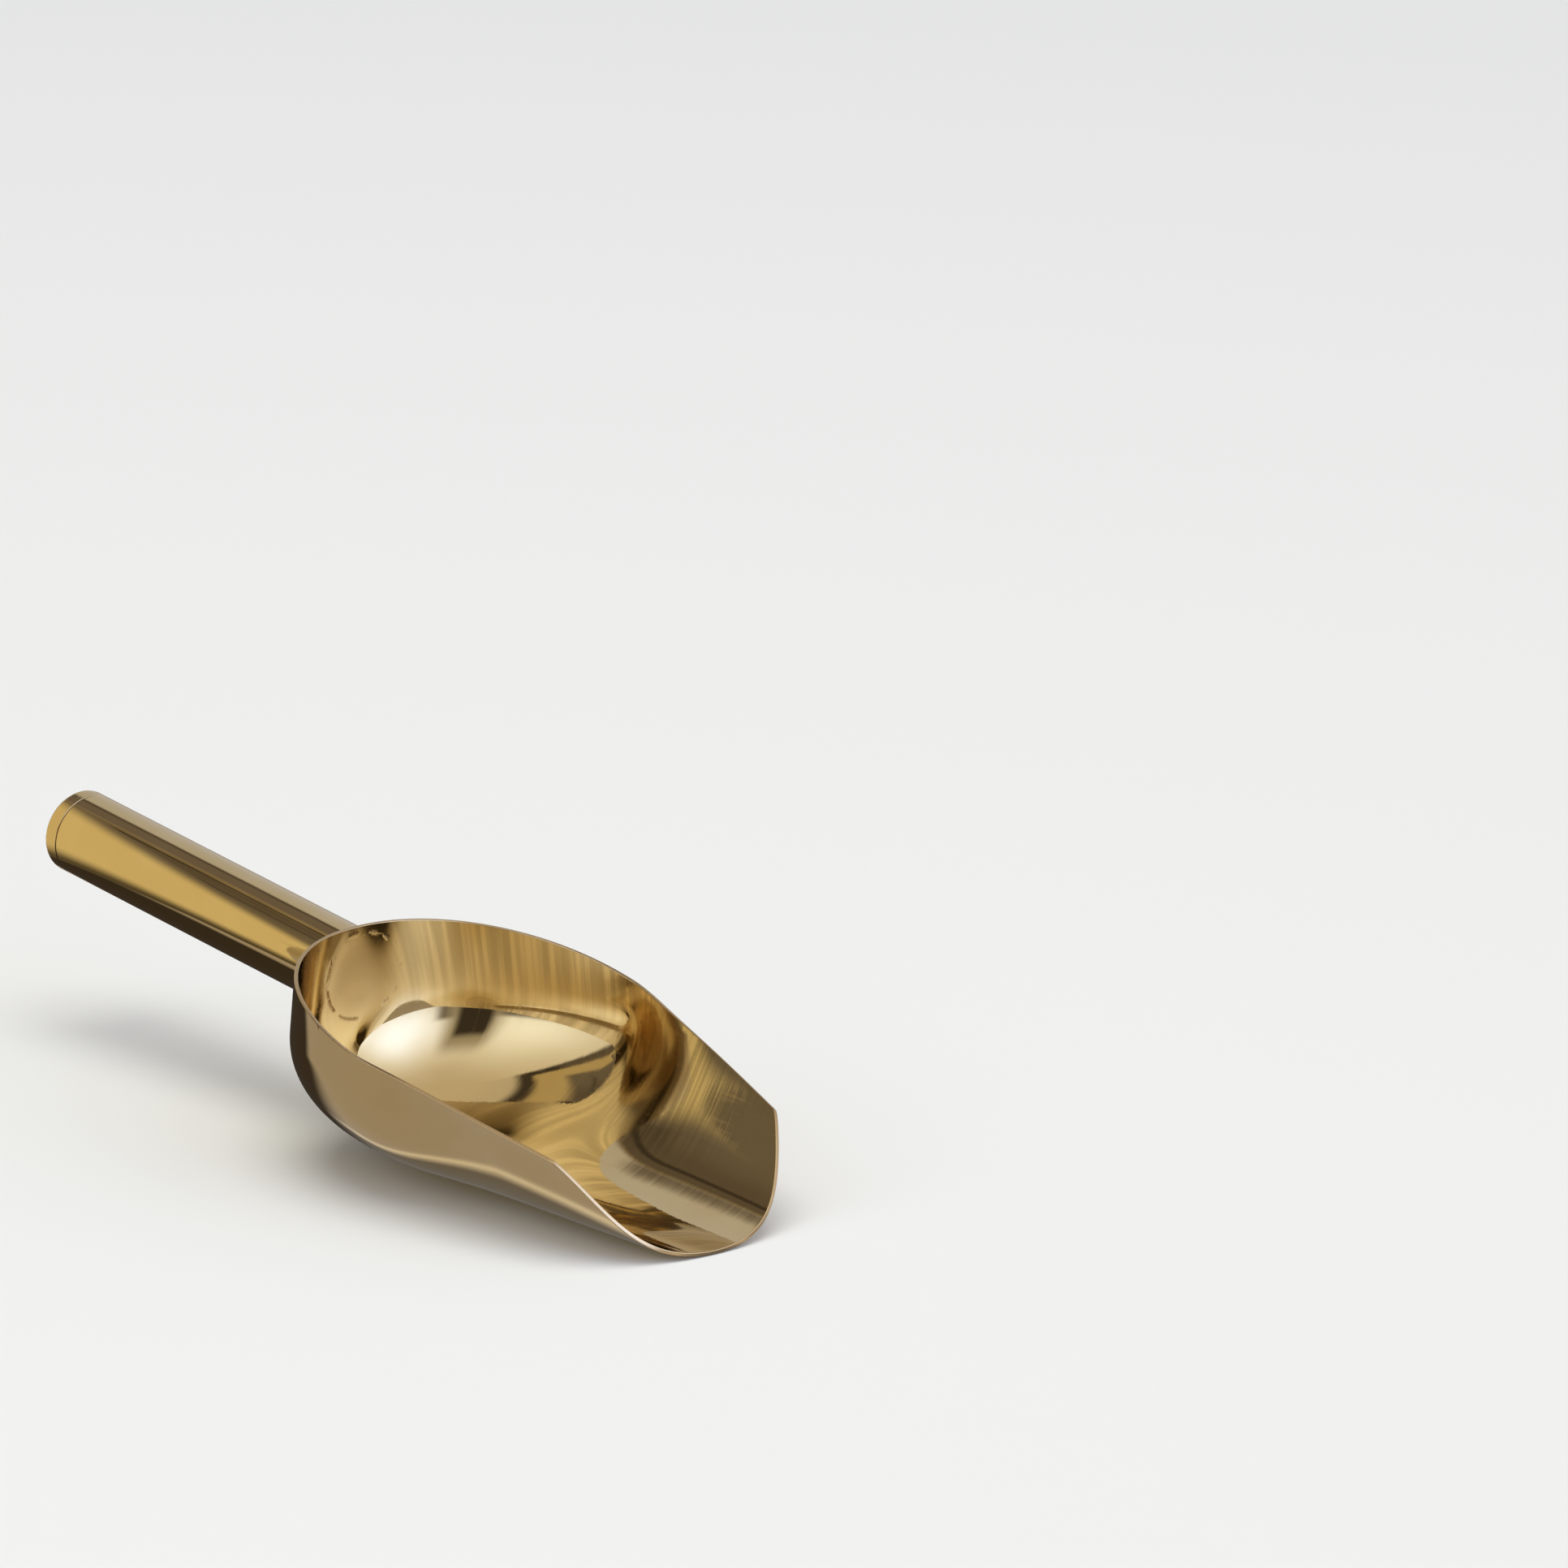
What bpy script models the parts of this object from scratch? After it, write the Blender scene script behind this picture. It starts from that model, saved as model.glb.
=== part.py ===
# Ice scoop: a pressed one-piece bowl with a straight tube handle welded to its back
# and a turned cap closing the handle's free end.
#
# The scoop is laid out in its own frame: X runs forward from the back of the bowl to
# the lip, Y runs across, Z is up, and the bowl stands on its level bottom line at Z = 0.
# At the end everything hangs from one empty, which puts the origin under the middle of
# the whole scoop, on the surface that it stands on.
import bpy
import bmesh
import math
from mathutils import Matrix, Vector

# ---------------------------------------------------------------- driving dimensions
BOWL_LENGTH = 0.1280          # back of the bowl to the tip of the lip
BOWL_HALF_WIDTH = 0.0409      # half the width at the shoulders, the widest place
SHOULDER_X = 0.0526           # where the round back ends and the sides start to close in
LIP_LENGTH = 0.0178           # length over which the rim turns down into the lip
BELLY_HEIGHT = 0.0299         # height of the widest level line of the bowl
BACK_RIM_RISE = 0.0156        # how far the rim stands above that line at the very back
BACK_RIM_SLOPE = -0.176       # fall of the rim along the round back
BACK_RIM_SAG = -0.54          # extra curve of that fall, per metre
SIDE_RIM_SLOPE = -0.215       # fall of the rim along the straight sides
SIDE_TAPER = -0.187           # closing in of each side towards the lip
SIDE_TAPER_EASE = 0.49        # easing of that taper, per metre
WALL_LEAN = -0.054            # how much the walls close in towards the rim
PLAN_POWER = 2.10             # roundness of the back seen from above
DEPTH_POWER = 2.65            # roundness of the back seen from the side
SECTION_SLIM = 0.032          # how much slimmer than an ellipse the cross section is
FRONT_START = 0.044           # where the round section starts to turn into the front one
FRONT_END = 0.086             # and where it is wholly a shallow floor with sloping walls
WALL_ANGLE = 1.00             # slope of the front's side walls, radians from level
WALL_SHARE = 0.42             # part of the front's height taken by that flat slope
FLOOR_RADIUS = 0.052          # radius of the front's floor along its middle line
LIP_CURVE = 1.26              # how late the rim turns down in the lip
LIP_POWER = 1.08              # how it runs out at the tip
SHEET = 0.0009                # thickness of the bowl's sheet

HANDLE_RADIUS = 0.0095
HANDLE_WALL = 0.0010
HANDLE_TILT = 0.097           # radians, the free end higher
HANDLE_BELOW_RIM = 0.0020     # how far the tube's top stays under the rim at the back
HANDLE_LENGTH = 0.09927       # from the back of the bowl to the seam of the cap

CAP_LENGTH = 0.0043           # visible part of the cap
CAP_EDGE = 0.0010             # radius of the cap's outer edge
SPIGOT_LENGTH = 0.0060        # part of the cap inside the tube

WELD_LEG = 0.0017             # size of the weld fillet
GAP = 0.0003                  # clearance between pieces that meet

# Sizes that follow from the ones above.
CORNER_X = BOWL_LENGTH - LIP_LENGTH
HANDLE_HEIGHT = BELLY_HEIGHT + BACK_RIM_RISE - HANDLE_BELOW_RIM - HANDLE_RADIUS

DOME_STEPS = 15
SIDE_STEPS = 8
LIP_STEPS = 11
HALF_SECTION_STEPS = 14
ROUND_STEPS = 48


# ---------------------------------------------------------------- the bowl's surface
def half_width(x):
    """Half the bowl's width on its widest level line, at distance x from the back."""
    if x < SHOULDER_X:
        t = 1.0 - x / SHOULDER_X
        return BOWL_HALF_WIDTH * max(1.0 - t ** PLAN_POWER, 0.0) ** (1.0 / PLAN_POWER)
    d = x - SHOULDER_X
    return BOWL_HALF_WIDTH + SIDE_TAPER * d + SIDE_TAPER_EASE * d * d


def depth(x):
    """Depth of the bowl below its widest level line."""
    if x < SHOULDER_X:
        t = 1.0 - x / SHOULDER_X
        return BELLY_HEIGHT * max(1.0 - t ** DEPTH_POWER, 0.0) ** (1.0 / DEPTH_POWER)
    return BELLY_HEIGHT


def level_rim(x):
    """Height of the rim before the lip, carried on past the front corner."""
    back = min(x, SHOULDER_X)
    rise = BACK_RIM_RISE + BACK_RIM_SLOPE * back + BACK_RIM_SAG * back * back
    return BELLY_HEIGHT + rise + SIDE_RIM_SLOPE * max(x - SHOULDER_X, 0.0)


def rim_height(x):
    """Height of the rim everywhere, down to the tip of the lip."""
    if x <= CORNER_X:
        return level_rim(x)
    t = min((x - CORNER_X) / (BOWL_LENGTH - CORNER_X), 1.0)
    return level_rim(CORNER_X) * (1.0 - t ** LIP_CURVE) ** LIP_POWER


def lean(z):
    return 1.0 + WALL_LEAN * (z - BELLY_HEIGHT) / BELLY_HEIGHT


def leaned(x, y, z):
    """Closes the round back in towards the rim; y is already closed in."""
    if x < SHOULDER_X:
        x = SHOULDER_X + (x - SHOULDER_X) * lean(z)
    return Vector((x, y, z))


def round_section(w, d, a):
    """The round-bottomed cross section of the back. From a = 0 at the bottom to 1 at the
    belly line it is round, and past 1 it climbs the wall, one belly height for each 1."""
    angle = 0.5 * math.pi * min(a, 1.0)
    slim = 1.0 - SECTION_SLIM * math.sin(2.0 * angle) ** 2
    y = w * math.sin(angle) * slim
    z = BELLY_HEIGHT - d * math.cos(angle) * slim + BELLY_HEIGHT * max(a - 1.0, 0.0)
    return y * lean(z), z


def solve(height, target):
    """The value from 0 to 1 at which a rising height reaches its target."""
    low, high = 0.0, 1.0
    for _ in range(40):
        mid = 0.5 * (low + high)
        if height(mid) < target:
            low = mid
        else:
            high = mid
    return high


def section(x):
    """The cross section at x as a function of t, from 0 at the bottom to 1 at the height
    of the level rim: round at the back, and with flat sloping walls at the front."""
    w = half_width(x)
    d = depth(x)
    top = level_rim(x)
    if top >= BELLY_HEIGHT:
        a_top = 1.0 + (top - BELLY_HEIGHT) / BELLY_HEIGHT
    else:
        a_top = solve(lambda a: round_section(w, d, a)[1], top)
    y_top, z_top = round_section(w, d, a_top)
    run = WALL_SHARE * z_top
    y2 = y_top - run / math.tan(WALL_ANGLE)
    z2 = z_top - run
    y1 = math.sqrt(max(2.0 / 3.0 * FLOOR_RADIUS * z2, 0.0))
    s = min(max((x - FRONT_START) / (FRONT_END - FRONT_START), 0.0), 1.0)
    s = s * s * (3.0 - 2.0 * s)

    def point(t):
        y_back, z_back = round_section(w, d, a_top * t)
        k1 = 3.0 * (1.0 - t) ** 2 * t
        k2 = 3.0 * (1.0 - t) * t ** 2
        y_front = k1 * y1 + k2 * y2 + t ** 3 * y_top
        z_front = k2 * z2 + t ** 3 * z_top
        return y_back + s * (y_front - y_back), z_back + s * (z_front - z_back)

    return point


def half_section(x, steps):
    """Points of one side of the cross section at x, from the bottom to the rim, evenly
    spaced along the sheet."""
    point = section(x)
    end = 1.0
    if x > CORNER_X:
        end = solve(lambda t: point(t)[1], rim_height(x))
    fine = 160
    path = [point(end * i / fine) for i in range(fine + 1)]
    run = [0.0]
    for (ya, za), (yb, zb) in zip(path, path[1:]):
        run.append(run[-1] + math.hypot(yb - ya, zb - za))
    out = []
    k = 0
    for j in range(steps + 1):
        want = run[-1] * j / steps
        while k < len(run) - 2 and run[k + 1] < want:
            k += 1
        span = run[k + 1] - run[k]
        f = 0.0 if span < 1e-12 else (want - run[k]) / span
        ya, za = path[k]
        yb, zb = path[k + 1]
        out.append((ya + f * (yb - ya), za + f * (zb - za)))
    return out


def inside_bowl(p):
    """True where a point lies inside the bowl's outer surface, near its back."""
    k = lean(p.z)
    x = p.x
    if x < SHOULDER_X:
        x = SHOULDER_X + (x - SHOULDER_X) / k
    if x <= 0.0:
        return False
    w = half_width(x)
    y = abs(p.y) / k
    if p.z >= BELLY_HEIGHT:
        return y < w
    u = y / w
    v = (BELLY_HEIGHT - p.z) / depth(x)
    a = math.atan2(u, v)
    return math.hypot(u, v) < 1.0 - SECTION_SLIM * math.sin(2.0 * a) ** 2


# ---------------------------------------------------------------- small helpers
def clear_scene():
    for obj in list(bpy.data.objects):
        bpy.data.objects.remove(obj, do_unlink=True)


def metal(name, colour, roughness):
    mat = bpy.data.materials.new(name)
    mat.use_nodes = True
    bsdf = mat.node_tree.nodes["Principled BSDF"]
    bsdf.inputs["Base Color"].default_value = (colour[0], colour[1], colour[2], 1.0)
    bsdf.inputs["Metallic"].default_value = 1.0
    bsdf.inputs["Roughness"].default_value = roughness
    return mat


def new_object(name, bm, material, parent, smooth_angle=35.0):
    bmesh.ops.recalc_face_normals(bm, faces=bm.faces)
    mesh = bpy.data.meshes.new(name)
    bm.to_mesh(mesh)
    bm.free()
    mesh.shade_smooth()
    mesh.set_sharp_from_angle(angle=math.radians(smooth_angle))
    mesh.materials.append(material)
    obj = bpy.data.objects.new(name, mesh)
    bpy.context.scene.collection.objects.link(obj)
    obj.parent = parent
    return obj


def ring(bm, points):
    return [bm.verts.new(p) for p in points]


def bridge(bm, a, b):
    n = len(a)
    for i in range(n):
        j = (i + 1) % n
        bm.faces.new((a[i], a[j], b[j], b[i]))


def fan(bm, loop, centre):
    tip = bm.verts.new(centre)
    n = len(loop)
    for i in range(n):
        bm.faces.new((loop[i], loop[(i + 1) % n], tip))


# ---------------------------------------------------------------- the scoop's pieces
def bowl_stations():
    xs = []
    for i in range(1, DOME_STEPS + 1):
        xs.append(SHOULDER_X * (1.0 - math.cos(0.5 * math.pi * i / DOME_STEPS)))
    for i in range(1, SIDE_STEPS + 1):
        xs.append(SHOULDER_X + (CORNER_X - SHOULDER_X) * i / SIDE_STEPS)
    for i in range(1, LIP_STEPS):
        xs.append(CORNER_X + (BOWL_LENGTH - CORNER_X) * math.sin(0.5 * math.pi * i / LIP_STEPS))
    return xs


def build_bowl(material, parent):
    """The outer skin of the bowl, from rim to rim, thickened inwards to a sheet."""
    bm = bmesh.new()
    n = HALF_SECTION_STEPS
    back = []
    for j in range(n + 1):
        top = rim_height(0.0)
        z = BELLY_HEIGHT + (top - BELLY_HEIGHT) * j / n
        back.append(bm.verts.new(leaned(0.0, 0.0, z)))
    previous = back[:0:-1] + back
    for x in bowl_stations():
        side = half_section(x, n)
        row = [bm.verts.new(leaned(x, -y, z)) for y, z in side[:0:-1]]
        row += [bm.verts.new(leaned(x, y, z)) for y, z in side]
        for j in range(2 * n):
            a, b, c, d = previous[j], previous[j + 1], row[j + 1], row[j]
            bm.faces.new((a, b, c, d))
        previous = row
    tip = bm.verts.new(Vector((BOWL_LENGTH, 0.0, BELLY_HEIGHT - depth(BOWL_LENGTH))))
    for j in range(2 * n):
        bm.faces.new((previous[j], previous[j + 1], tip))
    obj = new_object("scoop_bowl", bm, material, parent)
    # The skin is one open sheet: its faces are turned outwards, away from its middle.
    mesh = obj.data
    middle = Vector((SHOULDER_X, 0.0, BELLY_HEIGHT))
    outward = sum((p.center - middle).dot(p.normal) * p.area for p in mesh.polygons)
    if outward < 0.0:
        mesh.flip_normals()
    wall = obj.modifiers.new("sheet", 'SOLIDIFY')
    wall.thickness = SHEET
    wall.offset = -1.0
    wall.use_even_offset = True
    wall.use_rim = True
    return obj


def meeting_distance(radius, angle):
    """How far forward of the handle's own origin the bowl's back is met, on one line
    parallel to the handle's axis."""
    axis, up = handle_directions()
    start = handle_origin() + radius * (math.cos(angle) * up + math.sin(angle) * Vector((0, 1, 0)))
    low, high = -0.02, 0.02
    for _ in range(50):
        mid = 0.5 * (low + high)
        if inside_bowl(start + axis * mid):
            high = mid
        else:
            low = mid
    return high


def handle_directions():
    axis = Vector((math.cos(HANDLE_TILT), 0.0, -math.sin(HANDLE_TILT)))
    up = Vector((math.sin(HANDLE_TILT), 0.0, math.cos(HANDLE_TILT)))
    return axis, up


def handle_origin():
    return Vector((0.0, 0.0, HANDLE_HEIGHT))


def handle_matrix():
    """Local Z runs back along the handle from the bowl to the cap, local X is up."""
    axis, up = handle_directions()
    back = -axis
    side = back.cross(up)
    m = Matrix((up, side, back)).transposed().to_4x4()
    m.translation = handle_origin()
    return m


def circle_angles():
    return [2.0 * math.pi * i / ROUND_STEPS for i in range(ROUND_STEPS)]


def build_tube(material, parent):
    """A plain tube whose front end follows the back of the bowl."""
    bm = bmesh.new()
    inner = HANDLE_RADIUS - HANDLE_WALL
    end = HANDLE_LENGTH - 0.5 * GAP
    rows = []
    for radius, coped in ((HANDLE_RADIUS, True), (HANDLE_RADIUS, False), (inner, False), (inner, True)):
        points = []
        for a in circle_angles():
            z = end
            if coped:
                z = -meeting_distance(radius, a) + 1.25 * GAP
            points.append((radius * math.cos(a), radius * math.sin(a), z))
        rows.append(ring(bm, points))
    for k in range(4):
        bridge(bm, rows[k], rows[(k + 1) % 4])
    obj = new_object("handle_tube", bm, material, parent)
    return obj


def build_cap(material, parent):
    """A turned cap: a rounded disc as wide as the tube, with a spigot inside it."""
    bm = bmesh.new()
    seam = HANDLE_LENGTH
    spigot = HANDLE_RADIUS - HANDLE_WALL - GAP
    end = seam + CAP_LENGTH
    profile = [(spigot - 0.0005, seam - SPIGOT_LENGTH),
               (spigot, seam - SPIGOT_LENGTH + 0.0005),
               (spigot, seam + 0.5 * GAP),
               (HANDLE_RADIUS, seam + 0.5 * GAP)]
    for i in range(7):
        a = 0.5 * math.pi * i / 6
        profile.append((HANDLE_RADIUS - CAP_EDGE + CAP_EDGE * math.cos(a),
                        end - CAP_EDGE + CAP_EDGE * math.sin(a)))
    rows = []
    for radius, z in profile:
        rows.append(ring(bm, [(radius * math.cos(a), radius * math.sin(a), z)
                              for a in circle_angles()]))
    for a, b in zip(rows, rows[1:]):
        bridge(bm, a, b)
    fan(bm, rows[0], (0.0, 0.0, seam - SPIGOT_LENGTH))
    fan(bm, rows[-1], (0.0, 0.0, end))
    return new_object("handle_end_cap", bm, material, parent)


def build_weld(material, parent):
    """A hollow-faced fillet that runs round the handle where it meets the bowl."""
    bm = bmesh.new()
    rows = []
    inner = HANDLE_RADIUS + GAP
    face_steps = 4
    for k in range(face_steps + 2):
        points = []
        for a in circle_angles():
            foot = -meeting_distance(inner, a) + 1.25 * GAP
            if k == face_steps + 1:
                radius, z = inner, foot
            else:
                # a quarter circle seen from outside, from the toe on the bowl to the tube
                t = 0.5 * math.pi * k / face_steps
                radius = inner + WELD_LEG * (1.0 - math.sin(t))
                toe = -meeting_distance(inner + WELD_LEG, a) + 1.25 * GAP
                base = toe + (foot - toe) * (1.0 - (radius - inner) / WELD_LEG)
                z = base + WELD_LEG * (1.0 - math.cos(t))
            points.append((radius * math.cos(a), radius * math.sin(a), z))
        rows.append(ring(bm, points))
    for k in range(len(rows)):
        bridge(bm, rows[k], rows[(k + 1) % len(rows)])
    return new_object("weld_fillet", bm, material, parent)


def main():
    clear_scene()
    scoop = bpy.data.objects.new("scoop_frame", None)
    handle = bpy.data.objects.new("handle_frame", None)
    for empty in (scoop, handle):
        bpy.context.scene.collection.objects.link(empty)
    handle.parent = scoop
    handle.matrix_local = handle_matrix()

    gold_bowl = metal("polished_gold_bowl", (0.83, 0.64, 0.33), 0.08)
    gold_tube = metal("polished_gold_tube", (0.80, 0.61, 0.31), 0.12)
    gold_cap = metal("polished_gold_cap", (0.78, 0.60, 0.32), 0.14)
    gold_weld = metal("satin_gold_weld", (0.72, 0.54, 0.28), 0.28)

    build_bowl(gold_bowl, scoop)
    build_tube(gold_tube, handle)
    build_cap(gold_cap, handle)
    build_weld(gold_weld, handle)

    # The whole scoop is centred lengthways over its origin.
    axis, up = handle_directions()
    end_centre = handle_origin() - axis * (HANDLE_LENGTH + CAP_LENGTH - CAP_EDGE)
    rear = end_centre.x - up.x * (HANDLE_RADIUS - CAP_EDGE) - CAP_EDGE
    scoop.location = (-0.5 * (rear + BOWL_LENGTH), 0.0, 0.0)
    bpy.context.view_layer.update()


main()
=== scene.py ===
# The looks of the ice scoop: mirror-polished gold-coloured steel on a pale studio floor.
import bpy
import math
import numpy as np
from mathutils import Matrix, Vector


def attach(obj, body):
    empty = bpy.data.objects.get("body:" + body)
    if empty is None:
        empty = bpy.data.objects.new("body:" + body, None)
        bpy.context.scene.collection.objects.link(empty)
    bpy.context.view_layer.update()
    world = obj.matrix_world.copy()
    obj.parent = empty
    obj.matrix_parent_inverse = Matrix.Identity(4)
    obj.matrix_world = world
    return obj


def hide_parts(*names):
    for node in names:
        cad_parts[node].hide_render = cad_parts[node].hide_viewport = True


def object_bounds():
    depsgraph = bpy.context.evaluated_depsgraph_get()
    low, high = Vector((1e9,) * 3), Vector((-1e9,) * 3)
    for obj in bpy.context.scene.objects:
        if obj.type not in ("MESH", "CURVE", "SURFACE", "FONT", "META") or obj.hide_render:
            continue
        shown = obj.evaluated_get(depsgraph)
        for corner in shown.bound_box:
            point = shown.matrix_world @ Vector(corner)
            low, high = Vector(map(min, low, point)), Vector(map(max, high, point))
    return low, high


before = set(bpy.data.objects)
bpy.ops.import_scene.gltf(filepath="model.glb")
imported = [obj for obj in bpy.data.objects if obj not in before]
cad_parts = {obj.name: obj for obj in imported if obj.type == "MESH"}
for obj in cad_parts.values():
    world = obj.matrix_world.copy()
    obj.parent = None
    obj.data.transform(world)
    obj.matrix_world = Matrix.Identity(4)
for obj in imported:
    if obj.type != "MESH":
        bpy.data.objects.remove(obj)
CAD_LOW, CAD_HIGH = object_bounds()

# ---------------------------------------------------------------- the scoop's sizes
# The same sizes as the CAD part, in metres, in the scoop's own frame: X runs forward
# from the back of the bowl to the lip, Y across, Z up from the level bottom line.
BOWL_LENGTH = 0.1280
BOWL_HALF_WIDTH = 0.0409
SHOULDER_X = 0.0526
LIP_LENGTH = 0.0178
BELLY_HEIGHT = 0.0299
BACK_RIM_RISE = 0.0156
BACK_RIM_SLOPE = -0.176
BACK_RIM_SAG = -0.54
SIDE_RIM_SLOPE = -0.215
SIDE_TAPER = -0.187
SIDE_TAPER_EASE = 0.49
WALL_LEAN = -0.054
PLAN_POWER = 2.10
DEPTH_POWER = 2.65
SECTION_SLIM = 0.032
FRONT_START = 0.044
FRONT_END = 0.086
WALL_ANGLE = 1.00
WALL_SHARE = 0.42
FLOOR_RADIUS = 0.052
LIP_CURVE = 1.26
LIP_POWER = 1.08
SHEET = 0.0009
HANDLE_RADIUS = 0.0095
HANDLE_WALL = 0.0010
HANDLE_TILT = 0.097
HANDLE_BELOW_RIM = 0.0020
HANDLE_LENGTH = 0.09927
CAP_LENGTH = 0.0043
CAP_EDGE = 0.0010
SPIGOT_LENGTH = 0.0060
WELD_LEG = 0.0017
GAP = 0.0003

CORNER_X = BOWL_LENGTH - LIP_LENGTH
HANDLE_HEIGHT = BELLY_HEIGHT + BACK_RIM_RISE - HANDLE_BELOW_RIM - HANDLE_RADIUS
# The origin lies under the middle of the whole scoop, lengthways.
ORIGIN_SHIFT = CAD_HIGH.x - BOWL_LENGTH

EDGE_ROUND = 0.0002           # rounding of the sheet's edges at the rim
SEAM_ROUND = 0.00015          # rounding of the tube's and the cap's edges at their seam
SHOULDER_BLEND = 0.0050       # length over which the round back runs into the flat sides
TUBE_CLEAR = 1.25 * GAP       # between the bowl's back and the front end of the tube
WELD_CLEAR = GAP              # between the bowl's back and the weld
VERY_BACK = 0.001             # the sections up to this X count as the very back
X_STEP = 2e-5                 # steps along X and t for the slopes of the skin
T_STEP = 2e-4
RIM_T_STEP = 1e-4
MERGE_SCALE = 2e6             # points that round to the same half micrometre count as one

# How many steps each part of a surface is drawn with.
DOME_STEPS = 110
SIDE_STEPS = 48
LIP_STEPS = 60
SECTION_STEPS = 80
EDGE_STEPS = 4
ROUND_STEPS = 192
TUBE_STEPS = 24
CAP_STEPS = 12
WELD_STEPS = 12


# ---------------------------------------------------------------- the bowl's surface
def half_width(x):
    """Half the bowl's width at the belly line, with the round back up to the shoulder."""
    t = np.clip(1.0 - x / SHOULDER_X, 0.0, 1.0)
    round_back = BOWL_HALF_WIDTH * np.maximum(1.0 - t ** PLAN_POWER, 0.0) ** (1.0 / PLAN_POWER)
    # The taper comes in over a short length, so that the wall has no crease.
    d = np.maximum(x - SHOULDER_X, 0.0)
    b = SHOULDER_BLEND
    s = x - SHOULDER_X
    soft = np.where(s > b, s, np.where(s < -b, 0.0, (s + b) ** 2 / (4.0 * b)))
    return round_back + SIDE_TAPER * soft + SIDE_TAPER_EASE * d * d


def depth(x):
    """How far the bottom lies below the belly line."""
    t = np.clip(1.0 - x / SHOULDER_X, 0.0, 1.0)
    return BELLY_HEIGHT * np.maximum(1.0 - t ** DEPTH_POWER, 0.0) ** (1.0 / DEPTH_POWER)


def level_rim(x):
    """The height of the rim, as if it ran on over the lip without falling."""
    back = np.minimum(x, SHOULDER_X)
    rise = BACK_RIM_RISE + BACK_RIM_SLOPE * back + BACK_RIM_SAG * back * back
    return BELLY_HEIGHT + rise + SIDE_RIM_SLOPE * np.maximum(x - SHOULDER_X, 0.0)


def rim_height(x):
    """The height of the rim, which falls to the floor along the lip."""
    t = np.clip((x - CORNER_X) / LIP_LENGTH, 0.0, 1.0)
    return level_rim(np.minimum(x, CORNER_X)) * (1.0 - t ** LIP_CURVE) ** LIP_POWER


def round_section(w, d, a):
    """The round-bottomed cross section of the back. From a = 0 at the bottom to 1 at the
    belly line it is round, and past 1 it climbs the wall, one belly height for each 1."""
    angle = 0.5 * math.pi * np.clip(a, -1.0, 1.0)
    slim = 1.0 - SECTION_SLIM * np.sin(2.0 * angle) ** 2
    y = w * np.sin(angle) * slim
    z = BELLY_HEIGHT - d * np.cos(angle) * slim + BELLY_HEIGHT * np.maximum(a - 1.0, 0.0)
    return y * (1.0 + WALL_LEAN * (z - BELLY_HEIGHT) / BELLY_HEIGHT), z


def solve(height, target, steps=40):
    """The value from 0 to 1 at which a rising height reaches its target."""
    low = np.zeros_like(target)
    high = np.ones_like(target)
    for _ in range(steps):
        mid = 0.5 * (low + high)
        below = height(mid) < target
        low = np.where(below, mid, low)
        high = np.where(below, high, mid)
    return high


def section(x, t):
    """The cross section at x, from t = 0 at the bottom to 1 at the height of the level
    rim: round at the back, and with flat sloping walls at the front."""
    w = half_width(x)
    d = depth(x)
    top = level_rim(x)
    low_top = solve(lambda a: round_section(w, d, a)[1], np.minimum(top, BELLY_HEIGHT))
    a_top = np.where(top >= BELLY_HEIGHT, 1.0 + (top - BELLY_HEIGHT) / BELLY_HEIGHT, low_top)
    y_back, z_back = round_section(w, d, a_top * t)
    y_top, z_top = round_section(w, d, a_top)
    run = WALL_SHARE * z_top
    y2 = y_top - run / math.tan(WALL_ANGLE)
    z2 = z_top - run
    y1 = np.sqrt(np.maximum(2.0 / 3.0 * FLOOR_RADIUS * z2, 0.0))
    k1 = 3.0 * (1.0 - t) ** 2 * t
    k2 = 3.0 * (1.0 - t) * t ** 2
    y_front = k1 * y1 + k2 * y2 + t ** 3 * y_top
    z_front = k2 * z2 + t ** 3 * z_top
    s = np.clip((x - FRONT_START) / (FRONT_END - FRONT_START), 0.0, 1.0)
    s = s * s * (3.0 - 2.0 * s)
    return y_back + s * (y_front - y_back), z_back + s * (z_front - z_back)


def section_end(x):
    """The value of t at which the section reaches the rim."""
    top = rim_height(x)
    found = solve(lambda t: section(x, t)[1], top)
    return np.where(x <= CORNER_X, 1.0, np.where(x >= BOWL_LENGTH - 1e-9, 0.0, found))


def skin(x, t):
    """Points of the bowl's outer surface, on its +Y side."""
    y, z = section(x, t)
    k = 1.0 + WALL_LEAN * (z - BELLY_HEIGHT) / BELLY_HEIGHT
    x = np.where(x < SHOULDER_X, SHOULDER_X + (x - SHOULDER_X) * k, x)
    return np.stack([x, y, z], -1)


def unit(v):
    return v / np.maximum(np.linalg.norm(v, axis=-1, keepdims=True), 1e-15)


def small_step(x):
    """A step along X for the slope there, shorter towards the very back."""
    return np.minimum(X_STEP, 0.2 * x + 1e-9)


def skin_out(x, t):
    """The direction out of the bowl at those points."""
    h = small_step(x)
    along_x = skin(x + h, t) - skin(x - h, t)
    along_t = skin(x, t + T_STEP) - skin(x, t - T_STEP)
    n = unit(np.cross(along_t, along_x))
    p = skin(x, t)
    # A point well inside the bowl, to tell out from in.
    middle = np.stack([np.minimum(np.maximum(p[..., 0], 0.7 * SHOULDER_X), x + SHOULDER_X),
                       np.zeros_like(x), np.full_like(x, BELLY_HEIGHT + 0.010)], -1)
    flip = np.sum(n * (p - middle), -1, keepdims=True) < 0.0
    return np.where(flip, -n, n)


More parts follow.
